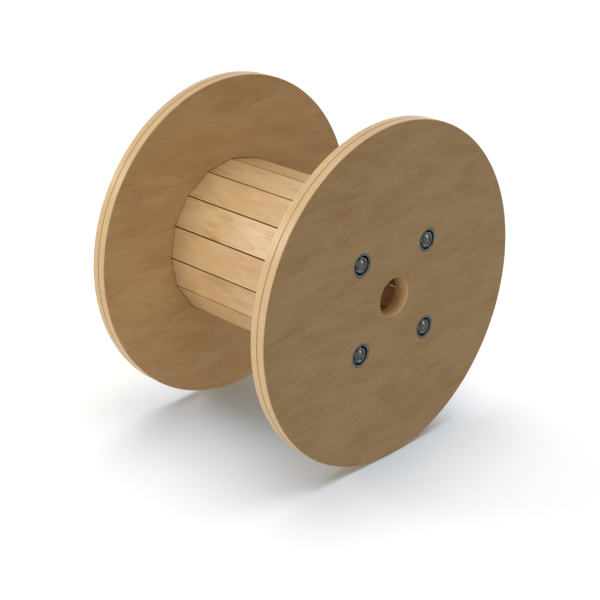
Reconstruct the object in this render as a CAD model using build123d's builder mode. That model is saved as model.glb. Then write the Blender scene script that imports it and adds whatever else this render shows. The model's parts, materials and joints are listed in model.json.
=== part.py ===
from build123d import *
import os
from math import cos, radians, sin, tan

# Empty cable reel: two plywood flanges, clamped onto a drum of wooden staves by four tie rods.
# The reel stands on the rims of its flanges. X is the spindle axis, Z is up, and the origin lies on the
# floor below the middle of the reel. Lengths are in millimetres and angles in degrees.

# Flanges: each is two round plywood sheets laid face to face
flange_diameter = 700
ply_thickness = 17
rim_ease = 1.6
joint_ease = 1.1
bore_diameter = 80
bore_ease = 1.5

# Drum: flat staves with bevelled sides, which stand in a groove in each flange
traverse_width = 425
drum_diameter = 350
stave_count = 16
stave_thickness = 16
stave_gap = 2.6
stave_edge_ease = 0.7
stave_let_in = 7
groove_clearance = 0.3

# Tie rods, with a hexagon nut on each end
rod_count = 4
rod_diameter = 20
rod_end_ease = 2.4
rod_end_depth = 0.8
rod_clearance = 1
nut_across_flats = 30
nut_crown_diameter = 28.5
nut_height = 16
nut_depth = 2.2
nut_corner_drop = 1.8
nut_bore_ease = 1.2
nut_bore_clearance = 0.1
nut_turns = [20, 0, 2, 17]

# Cup washers: pressed steel cups that hold each nut below the face of its flange
cup_bore_diameter = 39
cup_rim_diameter = 48
cup_wall = 2
cup_mouth_ease = 1.2
cup_rim_depth = 0.3
cup_clearance = 0.2
cup_to_groove = 1.3

# Sizes that follow from the ones above
flange_radius = flange_diameter / 2
flange_thickness = 2 * ply_thickness
bore_radius = bore_diameter / 2
half_width = traverse_width / 2 + flange_thickness
spindle_height = flange_radius

half_pitch = 180 / stave_count
drum_outside = drum_diameter / 2 * cos(radians(half_pitch))
drum_inside = drum_outside - stave_thickness
stave_length = traverse_width + 2 * stave_let_in

rod_radius = rod_diameter / 2
rod_length = 2 * (half_width - rod_end_depth)
nut_corner_radius = nut_across_flats / 2 / cos(radians(30))
nut_crown_radius = nut_crown_diameter / 2
nut_bore_radius = rod_radius + nut_bore_clearance
nut_foot_depth = nut_depth + nut_height

cup_depth = nut_foot_depth + cup_wall
cup_bore_radius = cup_bore_diameter / 2
cup_radius = cup_bore_radius + cup_wall
cup_rim_radius = cup_rim_diameter / 2
cup_seat_depth = cup_rim_depth + cup_wall
rod_hole_radius = rod_radius + rod_clearance
rod_circle_radius = drum_inside - groove_clearance - cup_to_groove - cup_clearance - cup_radius
rod_start_angle = 180 / rod_count


def spindle_plane(x, facing):
    """The plane across the spindle axis at x, facing along +X or -X."""
    return Plane(origin=(x, 0, spindle_height), x_dir=(0, facing, 0), z_dir=(facing, 0, 0))


def stave_plane(number, x):
    """The plane across a stave at x, centred on its outer face, with its X axis pointing out of the drum."""
    angle = radians(half_pitch * (2 * number - 1))
    outwards = Vector(0, cos(angle), sin(angle))
    return Plane(Vector(x, 0, spindle_height) + outwards * drum_outside, x_dir=outwards, z_dir=(1, 0, 0))


def rod_plane(number, x, facing):
    """The plane across a tie rod at x, facing along +X or -X, with its own X axis pointing up."""
    angle = radians(rod_start_angle * (2 * number - 1))
    centre = Vector(x, 0, spindle_height) + Vector(0, cos(angle), sin(angle)) * rod_circle_radius
    return Plane(centre, x_dir=(0, 0, 1), z_dir=(facing, 0, 0))


def stave_half_width(from_axis):
    """Half the width of a stave at that distance from the spindle axis, less its half of the gap."""
    return from_axis * tan(radians(half_pitch)) - stave_gap / 2 / cos(radians(half_pitch))


def cut_disc(back):
    """A round sheet with the spindle bore, standing on the plane of its back face."""
    with BuildSketch(back) as outline:
        Circle(flange_radius)
        Circle(bore_radius, mode=Mode.SUBTRACT)
    extrude(outline.sketch, amount=ply_thickness)


def ease_ring(ply, ring, towards, length):
    """Chamfer the rim (ring -1) or the bore (ring 0) of a sheet, on the side that an axis points to."""
    rings = ply.edges().filter_by(GeomType.CIRCLE).group_by(SortBy.RADIUS)
    chamfer(rings[ring].sort_by(towards)[-1], length)


def drill_rod_seats(face):
    """The stepped seats of the cups and the holes for the rods, from the flange's face inwards."""
    with Locations(face), PolarLocations(rod_circle_radius, rod_count, start_angle=rod_start_angle):
        Hole(cup_rim_radius + cup_clearance, cup_seat_depth)
        Hole(cup_radius + cup_clearance, cup_depth)
        Hole(rod_hole_radius, flange_thickness)


def save(piece, node):
    """Label a finished piece and write it as the node of that name."""
    piece.part.label = node
    export_step(piece.part, f"parts/{node}.step")


os.makedirs("parts", exist_ok=True)

for side, facing in {"right": 1, "left": -1}.items():
    face = spindle_plane(facing * half_width, facing)
    inside = face.offset(-flange_thickness)
    outwards = Axis(face.origin, face.z_dir)
    inwards = Axis(face.origin, -face.z_dir)

    # The sheet that shows on the outside
    with BuildPart() as outer_ply:
        cut_disc(face.offset(-ply_thickness))
        ease_ring(outer_ply, -1, outwards, rim_ease)
        ease_ring(outer_ply, -1, inwards, joint_ease)
        ease_ring(outer_ply, 0, outwards, bore_ease)
        drill_rod_seats(face)
    save(outer_ply, f"{side}_flange_outer_ply")

    # The sheet next to the drum, with the groove that the staves stand in
    with BuildPart() as inner_ply:
        cut_disc(inside)
        ease_ring(inner_ply, -1, inwards, rim_ease)
        ease_ring(inner_ply, -1, outwards, joint_ease)
        ease_ring(inner_ply, 0, inwards, bore_ease)
        drill_rod_seats(face)
        with BuildSketch(inside):
            RegularPolygon(drum_outside + groove_clearance, stave_count, major_radius=False)
            RegularPolygon(
                drum_inside - groove_clearance, stave_count, major_radius=False, mode=Mode.SUBTRACT
            )
        extrude(amount=stave_let_in, mode=Mode.SUBTRACT)
    save(inner_ply, f"{side}_flange_inner_ply")

    for number, nut_turn in enumerate(nut_turns, start=1):
        seat = rod_plane(number, facing * half_width, facing)
        half_section = Plane(seat.origin, x_dir=seat.x_dir, z_dir=-seat.y_dir)
        rod_axis = Axis(seat.origin, seat.z_dir)

        # A cup, turned from its wall's section: points are distance from the rod's axis, height from the face
        with BuildPart() as cup:
            with BuildSketch(half_section):
                with BuildLine():
                    Polyline(
                        (rod_hole_radius, -nut_foot_depth),
                        (cup_bore_radius, -nut_foot_depth),
                        (cup_bore_radius, -cup_rim_depth),
                        (cup_rim_radius, -cup_rim_depth),
                        (cup_rim_radius, -cup_seat_depth),
                        (cup_radius, -cup_seat_depth),
                        (cup_radius, -cup_depth),
                        (rod_hole_radius, -cup_depth),
                        close=True,
                    )
                make_face()
            revolve(axis=rod_axis)
            rim_edges = cup.edges().filter_by(GeomType.CIRCLE).group_by(rod_axis)[-1]
            chamfer(rim_edges.sort_by(SortBy.RADIUS)[0], cup_mouth_ease)
        save(cup, f"cup_washer_{side}_{number}")

        # A nut: a hexagon bar, turned down at its corners and bored for the rod
        with BuildPart() as nut:
            with BuildSketch(seat.offset(-nut_foot_depth)):
                RegularPolygon(nut_across_flats / 2, 6, major_radius=False, rotation=nut_turn)
            extrude(amount=nut_height)
            with BuildSketch(half_section):
                with BuildLine():
                    Polyline(
                        (nut_bore_radius, -nut_foot_depth),
                        (nut_corner_radius, -nut_foot_depth),
                        (nut_corner_radius, -nut_depth - nut_corner_drop),
                        (nut_crown_radius, -nut_depth),
                        (nut_bore_radius + nut_bore_ease, -nut_depth),
                        (nut_bore_radius, -nut_depth - nut_bore_ease),
                        close=True,
                    )
                make_face()
            revolve(axis=rod_axis, mode=Mode.INTERSECT)
        save(nut, f"nut_{side}_{number}")

for number in range(1, stave_count + 1):
    end = stave_plane(number, -stave_length / 2)
    with BuildPart() as stave:
        with BuildSketch(end):
            with BuildLine():
                Polyline(
                    (0, -stave_half_width(drum_outside)),
                    (0, stave_half_width(drum_outside)),
                    (-stave_thickness, stave_half_width(drum_inside)),
                    (-stave_thickness, -stave_half_width(drum_inside)),
                    close=True,
                )
            make_face()
        extrude(amount=stave_length)
        long_edges = stave.edges().filter_by(Axis.X).group_by(Axis(end.origin, end.x_dir))
        chamfer(long_edges[-1], stave_edge_ease)
    save(stave, f"stave_{number:02d}")

for number in range(1, rod_count + 1):
    with BuildPart() as rod:
        with BuildSketch(rod_plane(number, -rod_length / 2, 1)):
            Circle(rod_radius)
        extrude(amount=rod_length)
        chamfer(rod.edges().filter_by(GeomType.CIRCLE), rod_end_ease)
    save(rod, f"tie_rod_{number}")
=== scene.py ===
import json
from math import asin, atan2, cos, hypot, pi, radians, sin, tan
from random import Random

import bpy
from bpy.props import FloatProperty, FloatVectorProperty, IntProperty, PointerProperty
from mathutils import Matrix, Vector

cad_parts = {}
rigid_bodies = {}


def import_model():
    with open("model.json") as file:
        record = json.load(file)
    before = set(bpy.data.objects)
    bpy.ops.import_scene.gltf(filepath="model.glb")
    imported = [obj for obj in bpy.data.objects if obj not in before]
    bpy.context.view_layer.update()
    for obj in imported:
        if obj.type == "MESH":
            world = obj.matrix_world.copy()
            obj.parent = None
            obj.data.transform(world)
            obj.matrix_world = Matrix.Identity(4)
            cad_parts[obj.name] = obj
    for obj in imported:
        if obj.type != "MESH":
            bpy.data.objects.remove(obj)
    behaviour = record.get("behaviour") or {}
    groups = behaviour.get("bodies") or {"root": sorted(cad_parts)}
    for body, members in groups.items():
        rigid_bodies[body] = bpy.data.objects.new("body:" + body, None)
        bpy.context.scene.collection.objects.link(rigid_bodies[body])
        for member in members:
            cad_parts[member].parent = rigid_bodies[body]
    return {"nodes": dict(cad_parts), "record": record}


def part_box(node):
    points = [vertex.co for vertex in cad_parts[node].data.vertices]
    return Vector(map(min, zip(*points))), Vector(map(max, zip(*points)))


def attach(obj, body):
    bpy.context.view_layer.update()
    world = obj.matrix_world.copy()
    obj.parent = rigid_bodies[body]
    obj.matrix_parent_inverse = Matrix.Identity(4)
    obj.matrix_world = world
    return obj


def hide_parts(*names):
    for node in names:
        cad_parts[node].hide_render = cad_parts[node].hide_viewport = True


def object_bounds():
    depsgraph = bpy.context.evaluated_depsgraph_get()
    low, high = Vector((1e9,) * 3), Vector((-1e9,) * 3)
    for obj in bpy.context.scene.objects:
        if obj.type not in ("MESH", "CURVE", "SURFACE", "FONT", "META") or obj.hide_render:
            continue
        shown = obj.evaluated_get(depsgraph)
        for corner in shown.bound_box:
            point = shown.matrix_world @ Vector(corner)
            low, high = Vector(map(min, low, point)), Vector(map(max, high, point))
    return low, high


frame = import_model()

bl_info = {
    "name": "Cable Reel Finish",
    "version": (1, 0, 0),
    "blender": (4, 5, 0),
    "location": "View3D > Sidebar > Cable Reel",
    "description": "Models the wood and fittings of an empty cable reel around its solids and lights it",
    "category": "Object",
}

cad_low, cad_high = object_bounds()
SIDES = {"right": 1, "left": -1}
ROD_NUMBERS = range(1, 5)
STAVE_NUMBERS = range(1, 17)
STAVE_HALF_PITCH = pi / len(STAVE_NUMBERS)

# Facets round the curved shapes and across a rounded corner
SEAT_STEPS = 64
ROUND_STEPS = 72
BLANK_STEPS = 96
THREAD_STEPS = 36
ROUNDING_STEPS = 4

# How near a corner is to its place, how near points are merged, and the most edges of a closed hole
SAME_PLACE = 1e-5
SAME_POINT = 1e-6
HOLE_EDGES = 4

# The slope of a nut's cones, and the angle up to which neighbouring faces are shaded as one
NUT_CONE = radians(30)
SMOOTH_ANGLE = radians(35)


def extent(node):
    """The size of a node's box."""
    low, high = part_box(node)
    return high - low


def rod_centre(number):
    """Y and Z of a tie rod."""
    low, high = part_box(f"tie_rod_{number}")
    return (low.y + high.y) / 2, (low.z + high.z) / 2


# Sizes that come from the solids
BORE = next(mount for mount in frame["record"]["mounts"] if mount["name"] == "spindle_bore")
BORE_RADIUS = BORE["dims"]["r_mm"] / 1000
AXIS_HEIGHT = BORE["pos_m"][2]
FLANGE_RADIUS = extent("right_flange_outer_ply").z / 2
FACE_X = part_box("right_flange_outer_ply")[1].x
SEAM_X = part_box("right_flange_outer_ply")[0].x
INSIDE_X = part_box("right_flange_inner_ply")[0].x
STAVE_END_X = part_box("stave_01")[1].x
ROD_RADIUS = extent("tie_rod_1").z / 2
ROD_END_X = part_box("tie_rod_1")[1].x


def stave_reach(direction):
    """How far the first stave reaches along its own outward direction (1) or the opposite one (-1)."""
    y, z = direction * cos(STAVE_HALF_PITCH), direction * sin(STAVE_HALF_PITCH)
    points = [vertex.co for vertex in frame["nodes"]["stave_01"].data.vertices]
    return max(point.y * y + (point.z - AXIS_HEIGHT) * z for point in points)


DRUM_OUTSIDE = stave_reach(1)
DRUM_INSIDE = -stave_reach(-1)


def length(name, description, default):
    """A length property in metres."""
    return FloatProperty(
        name=name, description=description, default=default, min=0, precision=5, unit="LENGTH"
    )


def amount(name, description, default):
    """A plain number that isn't negative."""
    return FloatProperty(name=name, description=description, default=default, min=0)


def colour(name, description, default):
    """A colour property."""
    return FloatVectorProperty(
        name=name, description=description, default=default, subtype="COLOR", size=3, min=0, max=1
    )


class ReelSizes(bpy.types.PropertyGroup):
    """Sizes of the fine shapes, which the solids leave plain."""

    rim_round: length("Rim rounding", "Radius that the corners of each flange are sanded to", 0.0020)
    seam_round: length("Seam rounding", "Radius at the seam between the two sheets of a flange", 0.0014)
    bore_round: length("Bore rounding", "Radius at the mouths of the spindle bore", 0.0018)
    rim_steps: IntProperty(name="Rim steps", description="Facets round a flange", default=240, min=48)
    stave_round: length("Stave rounding", "Radius along the outer edges of each stave", 0.0009)
    stave_gap: length("Stave gap", "Gap between staves on the outside of the drum", 0.0026)
    stave_gap_inside: length("Stave gap inside", "Gap between staves on the inside of the drum", 0.0010)
    groove_slack: length("Groove slack", "Room round the staves in the groove of a flange", 0.0012)
    cup_wall: length("Cup wall", "Thickness of the steel that a cup is pressed from", 0.002)
    cup_bore: length("Cup bore", "Inside radius of a cup", 0.0195)
    cup_rim: length("Cup rim", "Outside radius of a cup's flat rim", 0.0247)
    cup_bend: length("Cup bend", "Rounding of a cup's pressed edges", 0.0009)
    cup_slack: length("Cup slack", "Room round a cup in its seat", 0.0002)
    rod_slack: length("Rod slack", "Room round a tie rod in its holes", 0.001)
    rod_dome: length("Rod dome", "Radius that the ends of a tie rod are domed to", 0.020)
    thread_pitch: length("Thread pitch", "Distance from one turn of the thread to the next", 0.0025)
    thread_turns: IntProperty(name="Thread turns", description="Turns on each end", default=22, min=4)
    crest_room: length("Crest room", "Room round the thread in the bar that its end is trimmed to", 0.0002)
    nut_slack: length("Nut slack", "Room round a tie rod in the bore of a nut", 0.0001)
    nut_across_flats: length("Nut across flats", "Width of a nut between opposite flats", 0.030)
    nut_crown: length("Nut crown", "Radius of the flat ring on a nut's end", 0.0152)
    nut_lift: length("Nut lift", "How far a nut stands above the plain one of the solids", 0.0010)
    rod_lift: length("Rod lift", "How far the ends of a rod stand above those of the plain one", 0.0007)
    nut_bore_ease: length("Nut bore ease", "Width of the countersink at the mouth of a nut", 0.0018)
    nut_round: length("Nut rounding", "Rounding of a nut's edges", 0.00035)


class ReelColours(bpy.types.PropertyGroup):
    """Colours of the wood and the steel."""

    pale: colour("Pale wood", "Clear wood between the figure", (0.500, 0.335, 0.165))
    warm: colour("Warm wood", "Soft reddish patches", (0.426, 0.252, 0.110))
    dark: colour("Dark plywood", "Thin wisps of the plywood's figure", (0.305, 0.150, 0.063))
    brown: colour("Dark staves", "Thin wisps of the staves' figure", (0.330, 0.178, 0.066))
    # Painted shade: the brown of the stave sides stands for the shade down in the gaps between staves
    gap: colour("Stave sides", "Brown in the mouths of the gaps between staves", (0.270, 0.112, 0.012))
    # Painted sheen: the paler rim colour stands for the whitish sheen on the rims
    rim_sheen: colour("Sanded wood", "Paler wood of the flanges' rims", (0.490, 0.380, 0.220))
    seam: colour("Seam", "Shade in the seam between two sheets", (0.130, 0.052, 0.010))
    zinc: colour("Zinc", "Dull plating of the cups", (0.112, 0.117, 0.119))
    zinc_dark: colour("Tarnished zinc", "Darker clouds of the plating", (0.075, 0.079, 0.081))
    steel: colour("Steel", "Nuts and tie rods", (0.095, 0.095, 0.091))
    steel_dark: colour("Dark steel", "Darker clouds of the steel", (0.068, 0.067, 0.064))
    # Partly painted light: rust, made pale so the rods inside the drum don't sink into its shade
    rust_and_painted_light: colour("Rust", "Pale rust on the rods inside the drum", (0.600, 0.440, 0.260))
    lamp: colour("Drum lamp", "Warm light inside the drum", (1.000, 0.580, 0.180))
    stave_tones: IntProperty(name="Stave tones", description="Start of the random tones", default=16377)


class ReelStage(bpy.types.PropertyGroup):
    """Floor, lights and camera."""

    floor_seen: colour("Floor as seen", "The floor's colour to the camera", (1.0, 1.0, 1.0))
    floor_cool: colour("Floor by the reel", "Evens out the warm light off the wood", (0.70, 0.85, 1.0))
    cool_core: length("Cool core", "How far the floor by the reel is at its coolest", 0.03)
    cool_reach: length("Cool reach", "How far the cooler colour of the floor reaches", 0.55)
    floor_glow: amount("Floor glow", "Light that the floor returns to the reel", 0.56)
    top_light: amount("Top light", "Strength of the light overhead", 1.20)
    sky_light: amount("Sky light", "Strength of the widest light overhead", 1.66)
    back_light: amount("Back light", "Strength of the low light behind the reel", 0.82)
    left_light: amount("Left light", "Strength of the low light on the left", 1.50)
    sheen_light: amount("Sheen light", "Strength of the light that shines on the rims", 0.38)
    front_light: amount("Front light", "Strength of the low light at the front, kept off the floor", 2.60)
    fill_light: amount("Fill light", "Strength of the low light at the front right", 0.45)
    spark_light: amount("Spark light", "Strength of the light that glints on the rods' ends", 0.60)
    glint_light: amount("Glint light", "Strength of the light that glints on the nuts' mouths", 0.40)
    drum_light: amount("Drum light", "Power in watts of the small lamp inside the drum", 0.11)
    drum_light_x: FloatProperty(
        name="Drum light X", description="Place of that lamp along the spindle", unit="LENGTH",
        default=-0.05,
    )
    camera_place: FloatVectorProperty(
        name="Camera", description="Place of the camera", subtype="TRANSLATION", size=3, unit="LENGTH",
        default=(1.903, -1.911, 1.460),
    )
    camera_azimuth: FloatProperty(
        name="Camera azimuth", description="Turn of the camera about the vertical", subtype="ANGLE",
        default=radians(45.06),
    )
    camera_elevation: FloatProperty(
        name="Camera elevation", description="How far the camera looks down", subtype="ANGLE",
        default=radians(23.86),
    )
    camera_lens: amount("Camera lens", "Focal length in millimetres", 85.42)
    camera_sensor: amount("Camera sensor", "Width of the sensor in millimetres", 36)


# Modelling

def start_fresh():
    """Leave edit mode and deselect everything, so that an operator acts on the new piece alone."""
    if bpy.context.mode != "OBJECT":
        bpy.ops.object.mode_set(mode="OBJECT")
    bpy.ops.object.select_all(action="DESELECT")


def select_only(piece):
    """Make one object the selected and active one."""
    start_fresh()
    piece.select_set(True)
    bpy.context.view_layer.objects.active = piece


def pick(piece, wanted, kind="VERT"):
    """In edit mode, select only the vertices that pass the test, or the edges whose ends both pass it."""
    bpy.ops.object.mode_set(mode="OBJECT")
    mesh = piece.data
    chosen = [bool(wanted(vertex.co)) for vertex in mesh.vertices]
    for elements in (mesh.vertices, mesh.edges, mesh.polygons):
        elements.foreach_set("select", [False] * len(elements))
    if kind == "VERT":
        mesh.vertices.foreach_set("select", chosen)
    else:
        for edge in mesh.edges:
            edge.select = all(chosen[index] for index in edge.vertices)
    bpy.ops.object.mode_set(mode="EDIT")
    bpy.ops.mesh.select_mode(type=kind)


def apply_modifier(piece, kind, **settings):
    """Add a modifier to the active piece, set it and apply it."""
    modifier = piece.modifiers.new(kind.title(), kind)
    for key, value in settings.items():
        setattr(modifier, key, value)
    bpy.ops.object.modifier_apply(modifier=modifier.name)


def combine(piece, tool, operation):
    """Join a piece with a tool, cut it with the tool or keep what they share, and throw the tool away."""
    select_only(piece)
    apply_modifier(piece, "BOOLEAN", object=tool, operation=operation, solver="EXACT")
    bpy.data.objects.remove(tool, do_unlink=True)
    if not piece.data.polygons:
        raise RuntimeError(f"nothing is left of {piece.name}")


def settle(piece):
    """Put a piece's place into its mesh, merge doubles, close small holes and turn the faces outwards."""
    select_only(piece)
    bpy.ops.object.transform_apply(location=True, rotation=True, scale=True)
    bpy.ops.object.mode_set(mode="EDIT")
    bpy.ops.mesh.select_all(action="SELECT")
    bpy.ops.mesh.remove_doubles(threshold=SAME_POINT)
    bpy.ops.mesh.fill_holes(sides=HOLE_EDGES)
    bpy.ops.mesh.select_all(action="SELECT")
    bpy.ops.mesh.normals_make_consistent(inside=False)
    bpy.ops.object.mode_set(mode="OBJECT")


def turn_mesh(piece, angle, axis, centre):
    """Turn a piece's mesh about an axis through a point."""
    select_only(piece)
    bpy.ops.object.mode_set(mode="EDIT")
    bpy.ops.mesh.select_all(action="SELECT")
    bpy.ops.transform.rotate(value=angle, orient_axis=axis, orient_type="GLOBAL", center_override=centre)
    bpy.ops.object.mode_set(mode="OBJECT")


def dress(piece, name, node, material):
    """Name a finished piece, give it its finish and let it stand for its node."""
    select_only(piece)
    bpy.ops.object.shade_smooth_by_angle(angle=SMOOTH_ANGLE)
    apply_modifier(piece, "WEIGHTED_NORMAL", mode="FACE_AREA", weight=100, keep_sharp=True)
    piece.name = piece.data.name = name
    piece.data.materials.clear()
    piece.data.materials.append(bpy.data.materials[material])
    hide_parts(node)
    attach(piece, "root")


def copy_of(piece):
    """A copy with its own mesh, selected alone."""
    select_only(piece)
    bpy.ops.object.duplicate(linked=False)
    twin = bpy.context.view_layer.objects.active
    select_only(twin)
    return twin


def add_disc(radius, x, y, z, steps):
    """A round face across the spindle's direction, left in edit mode with its face selected."""
    start_fresh()
    bpy.ops.mesh.primitive_circle_add(
        vertices=steps, radius=radius, fill_type="NGON", location=(x, y, z), rotation=(0, pi / 2, 0)
    )
    disc = bpy.context.object
    bpy.ops.object.transform_apply(location=True, rotation=True, scale=True)
    bpy.ops.object.mode_set(mode="EDIT")
    bpy.ops.mesh.select_mode(type="FACE")
    bpy.ops.mesh.select_all(action="SELECT")
    return disc


def add_bar(radius, low_x, high_x, y, z, steps):
    """A round bar along the spindle's direction."""
    start_fresh()
    bpy.ops.mesh.primitive_cylinder_add(
        vertices=steps, radius=radius, depth=high_x - low_x, location=((low_x + high_x) / 2, y, z),
        rotation=(0, pi / 2, 0),
    )
    bar = bpy.context.object
    settle(bar)
    return bar


def pull_along(distance):
    """Extrude what is selected along the spindle's direction."""
    bpy.ops.mesh.extrude_region_move(TRANSFORM_OT_translate={"value": (distance, 0, 0)})


def widen(share, x, y, z):
    """Scale what is selected about a line along the spindle's direction."""
    bpy.ops.transform.resize(value=(1, share, share), center_override=(x, y, z), orient_type="GLOBAL")


def pull_rings(rings, y, z):
    """Extrude the selected ring, the first one given, to each of the next by its radius and its X."""
    for (last_radius, last_x), (radius, x) in zip(rings, rings[1:]):
        pull_along(x - last_x)
        widen(radius / last_radius, x, y, z)


def place_fittings(first, node_stem, name_stem, material, turns):
    """Copies of a fitting that was made for the first rod's right end, at both ends of all rods."""
    first_y, first_z = rod_centre(1)
    for side, facing in SIDES.items():
        for number in ROD_NUMBERS:
            y, z = rod_centre(number)
            twin = copy_of(first)
            turn_mesh(twin, turns[number - 1], "X", (0, first_y, first_z))
            if facing < 0:
                turn_mesh(twin, pi, "Z", (0, first_y, first_z))
            twin.location = (0, y - first_y, z - first_z)
            settle(twin)
            end = f"{side}_{number}"
            dress(twin, f"{name_stem}_{end}", f"{node_stem}_{end}", material)
    bpy.data.objects.remove(first, do_unlink=True)


# Finishes

def node_group(name, inputs, outputs):
    """A new shader node group with named sockets: its tree, its input node and its output node."""
    group = bpy.data.node_groups.new(name, "ShaderNodeTree")
    for socket, kind in inputs:
        group.interface.new_socket(socket, in_out="INPUT", socket_type=f"NodeSocket{kind}")
    for socket, kind in outputs:
        group.interface.new_socket(socket, in_out="OUTPUT", socket_type=f"NodeSocket{kind}")
    return group, group.nodes.new("NodeGroupInput").outputs, group.nodes.new("NodeGroupOutput").inputs


def add_node(tree, kind, feeds=None, **settings):
    """A node with its properties set. Feeds maps an input to a value or to the output that feeds it."""
    node = tree.nodes.new(kind)
    for key, value in settings.items():
        setattr(node, key, value)
    for key, value in (feeds or {}).items():
        if isinstance(value, bpy.types.NodeSocket):
            tree.links.new(value, node.inputs[key])
        else:
            node.inputs[key].default_value = value
    return node


def math(tree, operation, first, second=0.0):
    """The output of a Math node."""
    return add_node(tree, "ShaderNodeMath", {0: first, 1: second}, operation=operation).outputs[0]


def spread(tree, value, low, high, to_low=0.0, to_high=1.0):
    """The output of a Map Range node with soft ends."""
    feeds = {"Value": value, "From Min": low, "From Max": high, "To Min": to_low, "To Max": to_high}
    return add_node(tree, "ShaderNodeMapRange", feeds, interpolation_type="SMOOTHSTEP").outputs["Result"]


def mix(tree, share, first, second, blend="MIX"):
    """The output of a Mix Color node."""
    feeds = {0: share, 6: first, 7: second}
    return add_node(tree, "ShaderNodeMix", feeds, data_type="RGBA", blend_type=blend).outputs[2]


def parts_of(tree, vector):
    """The X, Y and Z outputs of a vector."""
    return add_node(tree, "ShaderNodeSeparateXYZ", {0: vector}).outputs


def vector_math(tree, operation, first, second):
    """The vector output of a Vector Math node."""
    node = add_node(tree, "ShaderNodeVectorMath", {0: first, 1: second}, operation=operation)
    return node.outputs["Vector"]


def length_of(tree, vector):
    """The length of a vector."""
    return add_node(tree, "ShaderNodeVectorMath", {0: vector}, operation="LENGTH").outputs["Value"]


def noise(tree, place, seed, scales, detail, roughness=0.5, distortion=0.0):
    """Noise drawn out by different scales along the three directions of a board."""
    feeds = {
        "Vector": vector_math(tree, "MULTIPLY", place, scales), "W": seed, "Scale": 1.0,
        "Detail": detail, "Roughness": roughness, "Distortion": distortion,
    }
    return add_node(tree, "ShaderNodeTexNoise", feeds, noise_dimensions="4D").outputs["Fac"]


def rgba(colour_property):
    """A colour property with full alpha."""
    return (*colour_property, 1.0)


def make_bare_wood_group():
    """Bare wood in a board's own directions, X along the grain and Seed different for each board."""
    group, source, result = node_group(
        "bare_wood",
        [
            ("Place", "Vector"), ("Seed", "Float"),
            ("Patches", "Float"), ("Streaks", "Float"), ("Wisps", "Float"),
            ("Pale", "Color"), ("Warm", "Color"), ("Dark", "Color"),
        ],
        [("Colour", "Color"), ("Roughness", "Float"), ("Height", "Float")],
    )
    place = source["Place"]

    def figure(seed_step, along, across, **settings):
        """Noise with its own seed, by how fine it is along the grain and across it."""
        seed = math(group, "ADD", source["Seed"], seed_step)
        return noise(group, place, seed, (along, across, across), **settings)

    # Broad soft patches, broken streaks and fine fibres
    patches = figure(0.0, along=5.5, across=17.0, detail=5.0, roughness=0.66, distortion=0.8)
    patch = spread(group, patches, 0.38, 0.64)
    streak = figure(5.3, along=10.0, across=70.0, detail=5.0, roughness=0.68, distortion=0.9)
    fibre = figure(9.1, along=30.0, across=560.0, detail=2.0, roughness=0.6)
    breaks = figure(7.9, along=11.0, across=30.0, detail=3.0, roughness=0.6, distortion=0.4)

    # Thin wisps where the growth rings come to the surface, broken up along their length
    rings = figure(2.7, along=5.0, across=40.0, detail=2.0, roughness=0.5, distortion=0.6)
    ridge = math(group, "ABSOLUTE", math(group, "SUBTRACT", rings, 0.5))
    ridge = spread(group, ridge, 0.0, 0.04, 1.0, 0.0)
    wisp = math(group, "MULTIPLY", ridge, spread(group, breaks, 0.45, 0.68))

    tone = mix(group, math(group, "MULTIPLY", patch, source["Patches"]), source["Pale"], source["Warm"])
    unbroken = spread(group, breaks, 0.62, 0.34, 0.25, 1.0)
    streaked = math(group, "MULTIPLY", spread(group, streak, 0.42, 0.68), unbroken)
    tone = mix(group, math(group, "MULTIPLY", streaked, source["Streaks"]), tone, source["Dark"])
    tone = mix(group, math(group, "MULTIPLY", wisp, source["Wisps"]), tone, source["Dark"])
    shade = spread(group, fibre, 0.28, 0.72, 0.94, 1.04)
    grey = add_node(group, "ShaderNodeCombineColor", {0: shade, 1: shade, 2: shade}).outputs[0]
    group.links.new(mix(group, 1.0, tone, grey, "MULTIPLY"), result["Colour"])
    group.links.new(spread(group, streak, 0.3, 0.7, 0.40, 0.50), result["Roughness"])
    group.links.new(math(group, "ADD", math(group, "MULTIPLY", fibre, 0.7), streak), result["Height"])


def new_material(name):
    """A material with its node tree, its Principled shader and its Object coordinates."""
    material = bpy.data.materials.new(name)
    material.use_nodes = True
    tree = material.node_tree
    place = add_node(tree, "ShaderNodeTexCoord").outputs["Object"]
    return tree, tree.nodes["Principled BSDF"], place


def add_wood(tree, place, seed, patches, streaks, wisps, dark):
    """The bare wood group with the reel's wood colours."""
    colours = bpy.context.scene.reel_colours
    feeds = {
        "Place": place, "Seed": seed, "Patches": patches, "Streaks": streaks, "Wisps": wisps,
        "Pale": rgba(colours.pale), "Warm": rgba(colours.warm), "Dark": rgba(dark),
    }
    return add_node(tree, "ShaderNodeGroup", feeds, node_tree=bpy.data.node_groups["bare_wood"]).outputs


def add_relief(tree, shader, height, strength, depth):
    """Bump from a height that changes over the surface."""
    bump = add_node(tree, "ShaderNodeBump", {"Strength": strength, "Distance": depth, "Height": height})
    tree.links.new(bump.outputs["Normal"], shader.inputs["Normal"])


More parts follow.
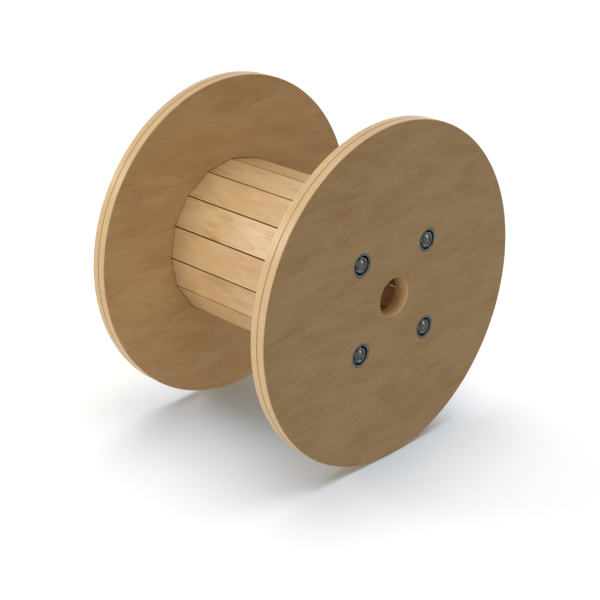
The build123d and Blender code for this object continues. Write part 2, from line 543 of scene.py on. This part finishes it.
def make_plywood():
    """Veneered sheets: figure along Y on the faces, layers round the edges, a dark seam between sheets."""
    veneer, veneer_start, seed_step = 0.0017, 0.0005, 1.37
    ply, ply_start = 0.0034, 0.0008
    right_turn, left_turn = radians(-3), radians(2.5)
    crossed_share, rim_sheen_share = 0.3, 0.3
    seam_core, seam_reach = 0.0008, 0.0017
    outside_shade, inner_painted_lift, bore_painted_lift = 0.96, 0.18, 0.42
    edge_coat = 0.45
    colours = bpy.context.scene.reel_colours
    tree, shader, place = new_material("plywood_bare")
    across = parts_of(tree, place)["X"]
    turn = spread(tree, across, -SEAM_X / 2, SEAM_X / 2, left_turn, right_turn)
    turn = add_node(tree, "ShaderNodeCombineXYZ", {"X": turn}).outputs[0]
    turned = add_node(tree, "ShaderNodeMapping", {"Vector": place, "Rotation": turn}).outputs["Vector"]
    turned = parts_of(tree, turned)
    board = add_node(tree, "ShaderNodeCombineXYZ", {"X": turned["Y"], "Y": turned["Z"]}).outputs[0]
    layer = math(tree, "DIVIDE", math(tree, "ADD", across, veneer_start), veneer)
    seed = math(tree, "MULTIPLY", math(tree, "FLOOR", layer), seed_step)
    wood = add_wood(tree, board, seed, patches=0.6, streaks=0.36, wisps=0.25, dark=colours.dark)

    # The edges show the layers of the sheet and are smoother than its faces
    normal = add_node(tree, "ShaderNodeNewGeometry").outputs["Normal"]
    facing = math(tree, "ABSOLUTE", parts_of(tree, normal)["X"])
    edge = spread(tree, facing, 0.25, 0.75, 1.0, 0.0)
    plies = math(tree, "DIVIDE", math(tree, "ADD", across, ply_start), ply)
    crossed = spread(tree, math(tree, "PINGPONG", plies, 1.0), 0.35, 0.65)
    crossed = math(tree, "MULTIPLY", crossed, math(tree, "MULTIPLY", edge, crossed_share))
    tone = mix(tree, crossed, wood["Colour"], rgba(colours.warm))
    from_axis = vector_math(tree, "ADD", place, (0, 0, -AXIS_HEIGHT))
    radius = length_of(tree, vector_math(tree, "MULTIPLY", from_axis, (0, 1, 1)))
    rim = math(tree, "GREATER_THAN", radius, (FLANGE_RADIUS + BORE_RADIUS) / 2)
    rim_edge = math(tree, "MULTIPLY", rim, edge)
    # Painted sheen: the rims are mixed towards a paler colour
    tone = mix(tree, math(tree, "MULTIPLY", rim_edge, rim_sheen_share), tone, rgba(colours.rim_sheen))
    past_seam = math(tree, "SUBTRACT", math(tree, "ABSOLUTE", across), SEAM_X)
    seam = spread(tree, math(tree, "ABSOLUTE", past_seam), seam_core, seam_reach, 1.0, 0.0)
    seam = math(tree, "MULTIPLY", seam, rim_edge)
    tone = mix(tree, seam, tone, rgba(colours.seam))

    # Painted light: the faces next to the drum and the walls of the bore are made lighter than the outside
    inner = math(tree, "MULTIPLY", math(tree, "LESS_THAN", past_seam, 0.0), facing)
    bored = math(tree, "MULTIPLY", math(tree, "SUBTRACT", 1.0, rim), edge)
    inner_painted_light = math(tree, "MULTIPLY", inner, inner_painted_lift)
    bore_painted_light = math(tree, "MULTIPLY", bored, bore_painted_lift)
    shade = math(tree, "ADD", math(tree, "ADD", inner_painted_light, bore_painted_light), outside_shade)
    tone = add_node(tree, "ShaderNodeVectorMath", {0: tone, "Scale": shade}, operation="SCALE").outputs[0]
    tree.links.new(tone, shader.inputs["Base Color"])
    tree.links.new(wood["Roughness"], shader.inputs["Roughness"])
    gloss = math(tree, "MULTIPLY", math(tree, "SUBTRACT", edge, seam), edge_coat)
    tree.links.new(gloss, shader.inputs["Coat Weight"])
    shader.inputs["Coat Roughness"].default_value = 0.2
    shader.inputs["Specular IOR Level"].default_value = 0.08
    add_relief(tree, shader, wood["Height"], strength=0.3, depth=0.0002)


def make_stave_wood():
    """Planed boards: figure along X, a tone for each stave, and painted shade, in brown, in the mouths of
    the gaps.
    """
    coat, seed_step, warm_share = 0.75, 90.0, 0.25
    # Where the painted shade in the gaps begins, is full, fades and ends, as shares of a stave's thickness
    gap_shade_start, gap_shade_full, gap_shade_fade, gap_shade_end = 0.005, 0.06, 0.12, 0.25
    tree, shader, place = new_material("stave_bare")
    tone = add_node(tree, "ShaderNodeAttribute", attribute_name="stave_tone").outputs["Fac"]
    depth = add_node(tree, "ShaderNodeAttribute", attribute_name="stave_depth").outputs["Fac"]
    colours = bpy.context.scene.reel_colours
    seed = math(tree, "MULTIPLY", tone, seed_step)
    wood = add_wood(tree, place, seed, patches=0.6, streaks=0.9, wisps=0.6, dark=colours.brown)
    warm = mix(tree, math(tree, "MULTIPLY", tone, warm_share), wood["Colour"], rgba(colours.warm))
    shallow = spread(tree, depth, gap_shade_fade, gap_shade_end, 1.0, 0.0)
    side = math(tree, "MULTIPLY", spread(tree, depth, gap_shade_start, gap_shade_full), shallow)
    tree.links.new(mix(tree, side, warm, rgba(colours.gap)), shader.inputs["Base Color"])
    tree.links.new(wood["Roughness"], shader.inputs["Roughness"])
    tree.links.new(spread(tree, side, 0.0, 1.0, coat, 0.0), shader.inputs["Coat Weight"])
    shader.inputs["Coat Roughness"].default_value = 0.3
    shader.inputs["Specular IOR Level"].default_value = 0.15
    add_relief(tree, shader, wood["Height"], strength=0.35, depth=0.0002)


def make_metal(name, bright, dark, roughness):
    """Dull metal with faint cloudy tarnish, and rust inside the drum, made pale as painted light."""
    cloud_scale, rust_fade = 120.0, 0.02
    smooth, rough = roughness - 0.03, roughness + 0.05
    tree, shader, place = new_material(name)
    cloud = noise(tree, place, 0.0, (cloud_scale, cloud_scale, cloud_scale), detail=3.0)
    tone = mix(tree, spread(tree, cloud, 0.38, 0.66), rgba(bright), rgba(dark))
    # Rust inside the drum, pale as painted light against the drum's shade
    from_middle = math(tree, "ABSOLUTE", parts_of(tree, place)["X"])
    clean = spread(tree, from_middle, INSIDE_X - rust_fade, INSIDE_X)
    tone = mix(tree, clean, rgba(bpy.context.scene.reel_colours.rust_and_painted_light), tone)
    tree.links.new(tone, shader.inputs["Base Color"])
    tree.links.new(clean, shader.inputs["Metallic"])
    tree.links.new(spread(tree, cloud, 0.3, 0.7, smooth, rough), shader.inputs["Roughness"])
    add_relief(tree, shader, cloud, strength=0.1, depth=0.0001)


# Operators

class REEL_OT_finishes(bpy.types.Operator):
    """Make the finishes of the wood and the steel"""

    bl_idname = "reel.finishes"
    bl_label = "Finishes"

    def execute(self, context):
        colours = context.scene.reel_colours
        make_bare_wood_group()
        make_plywood()
        make_stave_wood()
        make_metal("zinc", colours.zinc, colours.zinc_dark, roughness=0.36)
        make_metal("steel", colours.steel, colours.steel_dark, roughness=0.22)
        make_metal("rod_steel", colours.steel, colours.steel_dark, roughness=0.14)
        return {"FINISHED"}


class REEL_OT_flanges(bpy.types.Operator):
    """Turn the four plywood sheets, round their corners and bore the seats of the fittings"""

    bl_idname = "reel.flanges"
    bl_label = "Flanges"
    # How far a cutter reaches past the sheets
    overrun = 0.004

    def turn_sheet(self, shown_x, seam_x):
        """A sheet turned from its half-section, with its corners rounded."""
        sizes = bpy.context.scene.reel_sizes
        reach = FLANGE_RADIUS - BORE_RADIUS
        start_fresh()
        bpy.ops.mesh.primitive_plane_add(size=1)
        sheet = bpy.context.object
        sheet.scale = (abs(shown_x - seam_x), reach, 1)
        sheet.rotation_euler = (pi / 2, 0, 0)
        sheet.location = ((shown_x + seam_x) / 2, 0, AXIS_HEIGHT + BORE_RADIUS + reach / 2)
        bpy.ops.object.transform_apply(location=True, rotation=True, scale=True)
        for x, radius, rounding in (
            (shown_x, FLANGE_RADIUS, sizes.rim_round),
            (seam_x, FLANGE_RADIUS, sizes.seam_round),
            (shown_x, BORE_RADIUS, sizes.bore_round),
        ):
            corner = Vector((x, 0, AXIS_HEIGHT + radius))
            pick(sheet, lambda co: (co - corner).length < SAME_PLACE)
            bpy.ops.mesh.bevel(offset=rounding, segments=ROUNDING_STEPS, affect="VERTICES")
        bpy.ops.mesh.select_all(action="SELECT")
        bpy.ops.mesh.delete(type="ONLY_FACE")
        bpy.ops.mesh.select_all(action="SELECT")
        bpy.ops.mesh.spin(
            steps=sizes.rim_steps, angle=2 * pi, center=(0, 0, AXIS_HEIGHT), axis=(1, 0, 0),
            use_auto_merge=True,
        )
        settle(sheet)
        return sheet

    def seat_cutter(self, facing, number):
        """A stepped tool for one rod's seat: the cup's rim, the cup and the rod's hole."""
        sizes = bpy.context.scene.reel_sizes
        y, z = rod_centre(number)
        low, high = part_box(f"cup_washer_right_{number}")
        rim_radius = sizes.cup_rim + sizes.cup_slack
        cup_radius = sizes.cup_bore + sizes.cup_wall + sizes.cup_slack
        start_x = FACE_X + self.overrun
        tool = add_disc(rim_radius, facing * start_x, y, z, SEAT_STEPS)
        pull_along(facing * (high.x - sizes.cup_wall - start_x))
        bpy.ops.mesh.inset(thickness=rim_radius - cup_radius)
        pull_along(facing * (low.x - high.x + sizes.cup_wall))
        bpy.ops.mesh.inset(thickness=cup_radius - ROD_RADIUS - sizes.rod_slack)
        pull_along(facing * (INSIDE_X - self.overrun - low.x))
        settle(tool)
        return tool

    def groove_cutter(self, facing):
        """A many-sided ring for the groove that the staves stand in."""
        slack = bpy.context.scene.reel_sizes.groove_slack
        radius = (DRUM_OUTSIDE + slack) / cos(STAVE_HALF_PITCH)
        start_x = INSIDE_X - self.overrun
        tool = add_disc(radius, facing * start_x, 0, AXIS_HEIGHT, len(STAVE_NUMBERS))
        bpy.ops.mesh.inset(thickness=DRUM_OUTSIDE - DRUM_INSIDE + 2 * slack)
        bpy.ops.mesh.delete(type="FACE")
        bpy.ops.mesh.select_all(action="SELECT")
        pull_along(facing * (STAVE_END_X - start_x))
        settle(tool)
        return tool

    def execute(self, context):
        for side, facing in SIDES.items():
            for layer, shown_x in (("outer", FACE_X), ("inner", INSIDE_X)):
                sheet = self.turn_sheet(facing * shown_x, facing * SEAM_X)
                cutters = [self.seat_cutter(facing, number) for number in ROD_NUMBERS]
                if layer == "inner":
                    cutters.insert(0, self.groove_cutter(facing))
                for cutter in cutters:
                    combine(sheet, cutter, "DIFFERENCE")
                    settle(sheet)
                node = f"{side}_flange_{layer}_ply"
                dress(sheet, f"{side}_{layer}_sheet", node, "plywood_bare")
        return {"FINISHED"}


class REEL_OT_staves(bpy.types.Operator):
    """Plane one stave, round its edges and set a copy of it at each place round the drum"""

    bl_idname = "reel.staves"
    bl_label = "Staves"

    def plane_stave(self):
        """A stave on the +Y side of the drum, with bevelled sides."""
        sizes = bpy.context.scene.reel_sizes
        start_fresh()
        bpy.ops.mesh.primitive_cube_add(size=1)
        stave = bpy.context.object
        stave.scale = (2 * STAVE_END_X, DRUM_OUTSIDE - DRUM_INSIDE, 1)
        stave.location = (0, (DRUM_OUTSIDE + DRUM_INSIDE) / 2, AXIS_HEIGHT)
        bpy.ops.object.transform_apply(location=True, rotation=True, scale=True)
        for radius, gap in ((DRUM_OUTSIDE, sizes.stave_gap), (DRUM_INSIDE, sizes.stave_gap_inside)):
            pick(stave, lambda co: abs(co.y - radius) < SAME_PLACE)
            width = 2 * radius * tan(STAVE_HALF_PITCH) - gap / cos(STAVE_HALF_PITCH)
            bpy.ops.transform.resize(
                value=(1, 1, width), center_override=(0, radius, AXIS_HEIGHT), orient_type="GLOBAL"
            )
        pick(stave, lambda co: abs(co.y - DRUM_OUTSIDE) < SAME_PLACE, "EDGE")
        bpy.ops.mesh.bevel(offset=sizes.stave_round, segments=ROUNDING_STEPS, affect="EDGES")
        settle(stave)
        depth = stave.data.attributes.new("stave_depth", "FLOAT", "POINT")
        for vertex, share in zip(stave.data.vertices, depth.data):
            share.value = (DRUM_OUTSIDE - vertex.co.y) / (DRUM_OUTSIDE - DRUM_INSIDE)
        return stave

    def execute(self, context):
        stave = self.plane_stave()
        chance = Random(context.scene.reel_colours.stave_tones)
        for number in STAVE_NUMBERS:
            board = copy_of(stave)
            angle = STAVE_HALF_PITCH * (2 * number - 1)
            board.location = (0, AXIS_HEIGHT * sin(angle), AXIS_HEIGHT * (1 - cos(angle)))
            board.rotation_euler = (angle, 0, 0)
            settle(board)
            tone = board.data.attributes.new("stave_tone", "FLOAT", "POINT")
            tone.data.foreach_set("value", [chance.random()] * len(board.data.vertices))
            dress(board, f"stave_board_{number:02d}", f"stave_{number:02d}", "stave_bare")
        bpy.data.objects.remove(stave, do_unlink=True)
        return {"FINISHED"}


class REEL_OT_cups(bpy.types.Operator):
    """Press one cup washer from sheet steel and set a copy of it at each end of each rod"""

    bl_idname = "reel.cups"
    bl_label = "Cup washers"
    # The bends that are rounded, and how far each cup is turned past the last
    bend_limit = radians(40)
    turn_step = 0.7

    def execute(self, context):
        sizes = context.scene.reel_sizes
        y, z = rod_centre(1)
        low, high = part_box("cup_washer_right_1")
        floor_x = low.x + sizes.cup_wall
        hole_radius = ROD_RADIUS + sizes.rod_slack
        cup = add_disc(sizes.cup_bore, floor_x, y, z, ROUND_STEPS)
        bpy.ops.mesh.inset(thickness=sizes.cup_bore - hole_radius)
        bpy.ops.mesh.delete(type="FACE")
        pick(cup, lambda co: hypot(co.y - y, co.z - z) > (sizes.cup_bore + hole_radius) / 2, "EDGE")
        pull_along(high.x - floor_x)
        pull_along(0)
        widen(sizes.cup_rim / sizes.cup_bore, high.x, y, z)
        settle(cup)
        outwards = sum(face.normal.x for face in cup.data.polygons) > 0
        inwards = -1 if outwards else 1
        apply_modifier(cup, "SOLIDIFY", thickness=sizes.cup_wall, offset=inwards, use_even_offset=True)
        apply_modifier(
            cup, "BEVEL", width=sizes.cup_bend, segments=ROUNDING_STEPS,
            limit_method="ANGLE", angle_limit=self.bend_limit,
        )
        settle(cup)
        turns = [self.turn_step * number for number in ROD_NUMBERS]
        place_fittings(cup, "cup_washer", "pressed_cup", "zinc", turns)
        return {"FINISHED"}


class REEL_OT_nuts(bpy.types.Operator):
    """Turn one hexagon nut with a chamfered crown and set a copy of it on each end of each rod"""

    bl_idname = "reel.nuts"
    bl_label = "Nuts"
    sides = 6
    # How far the hexagon bar reaches past the round blank, and how much wider the blank is than the bar
    overrun = 0.002
    blank_ratio = 1.02
    # The edges that are rounded
    edge_limit = radians(24)
    edge_steps = 2

    def turned_blank(self, y, z, low_x, high_x, corner_radius):
        """The round blank that a nut is cut from: a cone at the outer end, and the bore."""
        sizes = bpy.context.scene.reel_sizes
        outside = corner_radius * self.blank_ratio
        drop = (outside - sizes.nut_crown) * tan(NUT_CONE)
        bore = ROD_RADIUS + sizes.nut_slack
        sink = sizes.nut_bore_ease * tan(NUT_CONE)
        rings = (
            (bore, low_x), (outside, low_x), (outside, high_x - drop), (sizes.nut_crown, high_x),
            (bore + sizes.nut_bore_ease, high_x), (bore, high_x - sink), (bore, low_x),
        )
        blank = add_disc(bore, low_x, y, z, BLANK_STEPS)
        bpy.ops.mesh.delete(type="ONLY_FACE")
        bpy.ops.mesh.select_mode(type="EDGE")
        bpy.ops.mesh.select_all(action="SELECT")
        pull_rings(rings, y, z)
        settle(blank)
        return blank

    def corner_angle(self, mesh, y, z):
        """The angle of a corner of a nut about its rod."""
        tip = max((vertex.co for vertex in mesh.vertices), key=lambda co: hypot(co.y - y, co.z - z))
        return atan2(tip.z - z, tip.y - y)

    def execute(self, context):
        sizes = context.scene.reel_sizes
        y, z = rod_centre(1)
        low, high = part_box("nut_right_1")
        high_x = high.x + sizes.nut_lift
        corner_radius = sizes.nut_across_flats / 2 / cos(pi / self.sides)
        nut = add_bar(corner_radius, low.x - self.overrun, high_x + self.overrun, y, z, self.sides)
        start = self.corner_angle(nut.data, y, z)
        combine(nut, self.turned_blank(y, z, low.x, high_x, corner_radius), "INTERSECT")
        settle(nut)
        apply_modifier(
            nut, "BEVEL", width=sizes.nut_round, segments=self.edge_steps,
            limit_method="ANGLE", angle_limit=self.edge_limit,
        )
        settle(nut)
        turns = [
            start - self.corner_angle(frame["nodes"][f"nut_right_{number}"].data, *rod_centre(number))
            for number in ROD_NUMBERS
        ]
        place_fittings(nut, "nut", "hex_nut", "steel", turns)
        return {"FINISHED"}


class REEL_OT_rods(bpy.types.Operator):
    """Cut the threads on the ends of one tie rod and set a copy of it at each place"""

    bl_idname = "reel.rods"
    bl_label = "Tie rods"
    # How much smaller the plain shank is, so that it doesn't coincide with the crests of the thread
    shank_drop = 0.00015
    # The depth of the thread as a share of its pitch, and the turns that are cut to length
    thread_depth = 0.54
    spare_turns = 3
    dome_shares = (1.0, 0.85, 0.7, 0.55, 0.4, 0.25, 0.1)

    def cut_thread(self, y, z, start_x, turns):
        """A length of thread, closed at both ends."""
        pitch = bpy.context.scene.reel_sizes.thread_pitch
        root, crest = ROD_RADIUS - self.thread_depth * pitch, ROD_RADIUS
        # One turn, by shares of the pitch: half of the root, a flank, the crest, a flank and the other half
        outline = (
            (0, root), (0.125, root), (0.4375, crest), (0.5625, crest), (0.875, root), (1, root),
        )
        points = [Vector((share * pitch, 0, radius)) for share, radius in outline]
        start_fresh()
        bpy.ops.mesh.primitive_plane_add(size=pitch)
        thread = bpy.context.object
        bpy.ops.object.mode_set(mode="EDIT")
        bpy.ops.mesh.select_mode(type="VERT")
        bpy.ops.mesh.select_all(action="SELECT")
        bpy.ops.mesh.merge(type="CENTER")
        bpy.ops.transform.translate(value=points[0])
        for point, following in zip(points, points[1:]):
            bpy.ops.mesh.extrude_vertices_move(TRANSFORM_OT_translate={"value": following - point})
        bpy.ops.object.mode_set(mode="OBJECT")
        apply_modifier(
            thread, "SCREW", axis="X", angle=2 * pi, screw_offset=pitch, iterations=turns,
            steps=THREAD_STEPS, render_steps=THREAD_STEPS,
            use_merge_vertices=True, merge_threshold=SAME_POINT,
        )
        thread.location = (start_x, y, z)
        settle(thread)
        bpy.ops.object.mode_set(mode="EDIT")
        bpy.ops.mesh.select_all(action="SELECT")
        bpy.ops.mesh.fill_holes(sides=0)
        bpy.ops.mesh.normals_make_consistent(inside=False)
        bpy.ops.object.mode_set(mode="OBJECT")
        return thread

    def threaded_end(self, y, z, start_x):
        """The right end of a rod: its thread, kept inside a bar with a domed end."""
        sizes = bpy.context.scene.reel_sizes
        end_x = ROD_END_X + sizes.rod_lift
        bar_radius = ROD_RADIUS + sizes.crest_room
        slope = asin(bar_radius / sizes.rod_dome)
        rings = [(bar_radius, start_x)]
        for share in self.dome_shares:
            drop = sizes.rod_dome * (1 - cos(share * slope))
            rings.append((sizes.rod_dome * sin(share * slope), end_x - drop))
        bar = add_disc(bar_radius, start_x, y, z, ROUND_STEPS)
        pull_rings(rings, y, z)
        settle(bar)
        turns = sizes.thread_turns + self.spare_turns
        thread = self.cut_thread(y, z, start_x - sizes.thread_pitch, turns)
        combine(thread, bar, "INTERSECT")
        settle(thread)
        return thread

    def execute(self, context):
        sizes = context.scene.reel_sizes
        y, z = rod_centre(1)
        start_x = ROD_END_X - sizes.thread_turns * sizes.thread_pitch
        overlap = sizes.thread_pitch
        shank_radius = ROD_RADIUS - self.shank_drop
        rod = add_bar(shank_radius, -start_x - overlap, start_x + overlap, y, z, ROUND_STEPS)
        end = self.threaded_end(y, z, start_x)
        other_end = copy_of(end)
        turn_mesh(other_end, pi, "Z", (0, y, z))
        for piece in (end, other_end):
            combine(rod, piece, "UNION")
            settle(rod)
        for number in ROD_NUMBERS:
            rod_y, rod_z = rod_centre(number)
            twin = copy_of(rod)
            twin.location = (0, rod_y - y, rod_z - z)
            settle(twin)
            dress(twin, f"threaded_rod_{number}", f"tie_rod_{number}", "rod_steel")
        bpy.data.objects.remove(rod, do_unlink=True)
        return {"FINISHED"}


class REEL_OT_stage(bpy.types.Operator):
    """Lay the floor, set the lights and place the camera"""

    bl_idname = "reel.stage"
    bl_label = "Stage"
    floor_size = 60
    # Where each distant light comes from and how wide it is, in degrees: azimuth, elevation and width
    suns = {
        "top_light": (80, 84, 50),
        "sky_light": (80, 80, 85),
        "back_light": (100, 15, 45),
        "left_light": (190, 10, 30),
        "sheen_light": (222, 29, 18),
        "fill_light": (300, 6, 45),
        "spark_light": (45, 9, 16),
        "glint_light": (82, 3, 14),
        "front_light": (265, 3, 50),
    }

    def seen(self, tree):
        """1 for rays from the camera and those that metal and glass send on, 0 for the rest."""
        path = add_node(tree, "ShaderNodeLightPath").outputs
        mirrored = math(tree, "MAXIMUM", path["Is Glossy Ray"], path["Is Transmission Ray"])
        return math(tree, "MAXIMUM", path["Is Camera Ray"], mirrored)

    def lay_floor(self, stage):
        """A pale floor that shows the reel's shadow and lights the reel evenly from below."""
        start_fresh()
        bpy.ops.mesh.primitive_plane_add(size=self.floor_size, location=(0, 0, cad_low.z))
        floor = bpy.context.object
        floor.name = "floor"
        material = bpy.data.materials.new("pale_floor")
        material.use_nodes = True
        tree = material.node_tree
        tree.nodes.remove(tree.nodes["Principled BSDF"])
        place = add_node(tree, "ShaderNodeTexCoord").outputs["Object"]
        # Painted colour: cooler near the reel, to cancel the warm light that the wood throws on the floor
        near = spread(tree, length_of(tree, place), stage.cool_core, stage.cool_reach, 1.0, 0.0)
        tone = mix(tree, near, rgba(stage.floor_seen), rgba(stage.floor_cool))
        shown = add_node(tree, "ShaderNodeBsdfDiffuse", {"Color": tone}).outputs[0]
        glow = add_node(tree, "ShaderNodeEmission", {"Strength": stage.floor_glow}).outputs[0]
        surface = add_node(tree, "ShaderNodeMixShader", {0: self.seen(tree), 1: glow, 2: shown}).outputs[0]
        tree.links.new(surface, tree.nodes["Material Output"].inputs["Surface"])
        floor.data.materials.append(material)
        return floor

    def whiten_background(self):
        """White beyond the floor, with no light of its own."""
        world = bpy.data.worlds.new("studio")
        bpy.context.scene.world = world
        world.use_nodes = True
        background = world.node_tree.nodes["Background"]
        background.inputs["Color"].default_value = (1, 1, 1, 1)
        world.node_tree.links.new(self.seen(world.node_tree), background.inputs["Strength"])

    def add_sun(self, name, strength, azimuth, elevation, width):
        """A soft distant light, by the direction that it comes from, in degrees."""
        start_fresh()
        bpy.ops.object.light_add(type="SUN")
        sun = bpy.context.object
        sun.name = name
        sun.data.energy = strength
        sun.data.angle = radians(width)
        around, up = radians(azimuth), radians(elevation)
        towards = Vector((cos(around) * cos(up), sin(around) * cos(up), sin(up)))
        sun.rotation_euler = towards.to_track_quat("Z", "Y").to_euler()
        return sun

    def add_drum_lamp(self, stage):
        """A small lamp that shows the inside of the drum through the bore."""
        start_fresh()
        bpy.ops.object.light_add(type="POINT", location=(stage.drum_light_x, 0, AXIS_HEIGHT))
        lamp = bpy.context.object
        lamp.name = "drum_light"
        lamp.data.energy = stage.drum_light
        lamp.data.color = bpy.context.scene.reel_colours.lamp
        lamp.data.shadow_soft_size = BORE_RADIUS
        lamp.visible_camera = False

    def add_camera(self, stage):
        """The camera of the photo, by its place and the direction that it looks in."""
        start_fresh()
        bpy.ops.object.camera_add(location=stage.camera_place)
        camera = bpy.context.object
        camera.data.sensor_width = stage.camera_sensor
        camera.data.lens = stage.camera_lens
        around, up = stage.camera_azimuth, stage.camera_elevation
        backwards = Vector((sin(around) * cos(up), -cos(around) * cos(up), sin(up)))
        camera.rotation_euler = backwards.to_track_quat("Z", "Y").to_euler()
        bpy.context.scene.camera = camera

    def execute(self, context):
        stage = context.scene.reel_stage
        floor = self.lay_floor(stage)
        unlit = bpy.data.collections.new("floor_unlit")
        unlit.objects.link(floor)
        unlit.collection_objects[0].light_linking.link_state = "EXCLUDE"
        self.whiten_background()
        fittings = bpy.data.collections.new("rods_and_nuts")
        for piece in context.scene.objects:
            if piece.name.startswith(("threaded_rod", "hex_nut")):
                fittings.objects.link(piece)
        suns = {name: self.add_sun(name, getattr(stage, name), *aim) for name, aim in self.suns.items()}
        for name in ("spark_light", "glint_light"):
            suns[name].light_linking.receiver_collection = fittings
        suns["front_light"].light_linking.receiver_collection = unlit
        suns["front_light"].light_linking.blocker_collection = unlit
        self.add_drum_lamp(stage)
        self.add_camera(stage)
        context.scene.view_settings.view_transform = "Standard"
        return {"FINISHED"}


class REEL_PT_panel(bpy.types.Panel):
    """Lists the reel's pieces, sizes and colours"""

    bl_idname = "REEL_PT_panel"
    bl_label = "Cable Reel"
    bl_space_type = "VIEW_3D"
    bl_region_type = "UI"
    bl_category = "Cable Reel"

    def draw(self, context):
        for operator in OPERATORS:
            self.layout.operator(operator.bl_idname)
        for group in (context.scene.reel_sizes, context.scene.reel_colours, context.scene.reel_stage):
            for name in group.__annotations__:
                self.layout.prop(group, name)


GROUPS = {"reel_sizes": ReelSizes, "reel_colours": ReelColours, "reel_stage": ReelStage}
OPERATORS = (
    REEL_OT_finishes, REEL_OT_flanges, REEL_OT_staves, REEL_OT_cups, REEL_OT_nuts, REEL_OT_rods,
    REEL_OT_stage,
)


def register():
    """Make the reel's properties, operators and panel known."""
    for item in (*GROUPS.values(), *OPERATORS, REEL_PT_panel):
        bpy.utils.register_class(item)
    for name, group in GROUPS.items():
        setattr(bpy.types.Scene, name, PointerProperty(type=group))


def unregister():
    """Take them away again."""
    for name in GROUPS:
        delattr(bpy.types.Scene, name)
    for item in reversed((*GROUPS.values(), *OPERATORS, REEL_PT_panel)):
        bpy.utils.unregister_class(item)


def main():
    """Build the whole reel and its stage."""
    register()
    bpy.ops.reel.finishes()
    bpy.ops.reel.flanges()
    bpy.ops.reel.staves()
    bpy.ops.reel.cups()
    bpy.ops.reel.nuts()
    bpy.ops.reel.rods()
    bpy.ops.reel.stage()


if __name__ == "__main__":
    main()
